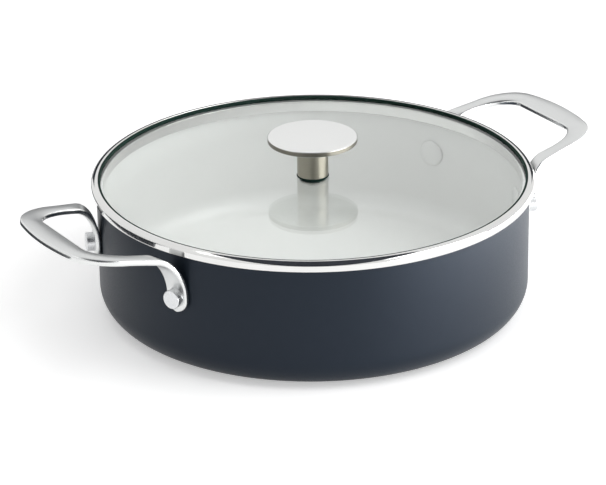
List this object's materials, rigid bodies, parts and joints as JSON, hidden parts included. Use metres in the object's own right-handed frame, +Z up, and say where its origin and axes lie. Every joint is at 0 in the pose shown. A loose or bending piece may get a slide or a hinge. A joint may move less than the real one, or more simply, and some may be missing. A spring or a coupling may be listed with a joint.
{
  "type": "saute pan with glass lid",
  "caption": "Shallow straight-walled pan with a dark coated outside, pale ceramic inside, riveted steel loop handles and a flat glass lid with a steel rim and knob, for frying and braising.",
  "frame": {"origin": "middle of the pan's underside, on the surface that it stands on", "axes": "+X towards the right handle, +Z up along the pan's axis"},
  "size_m": [0.4094, 0.2928, 0.116],
  "materials": {
    "pan_shell": "dark blue-grey satin coating",
    "ceramic_lining": "pale smooth ceramic coat",
    "induction_plate": "turned",
    "handle_steel": "satin faces, polished edges",
    "rivet_steel": "satin",
    "lid_glass": "clear",
    "lid_rim": "polished stainless steel",
    "soft_seal": "matt",
    "knob_steel": "turned satin",
    "screw_steel": "plain"
  },
  "bodies": {
    "pan": {"pan_shell": "pan_shell", "ceramic_lining": "ceramic_lining", "induction_plate": "induction_plate", "left_handle": "handle_steel", "right_handle": "handle_steel", "left_front_rivet": "rivet_steel", "left_back_rivet": "rivet_steel", "right_front_rivet": "rivet_steel", "right_back_rivet": "rivet_steel"},
    "lid": {"lid_glass": "lid_glass", "lid_rim": "lid_rim", "rim_seal": "soft_seal", "knob_disc": "knob_steel", "knob_stem": "knob_steel", "knob_gasket": "soft_seal", "screw_gasket": "soft_seal", "screw_washer": "screw_steel", "knob_screw": "screw_steel"}
  },
  "joints": [
    {"name": "lid_lift", "type": "slide", "parent": "pan", "child": "lid", "axis": [0, 0, 1], "range_m": [0, 0.15]}
  ]
}
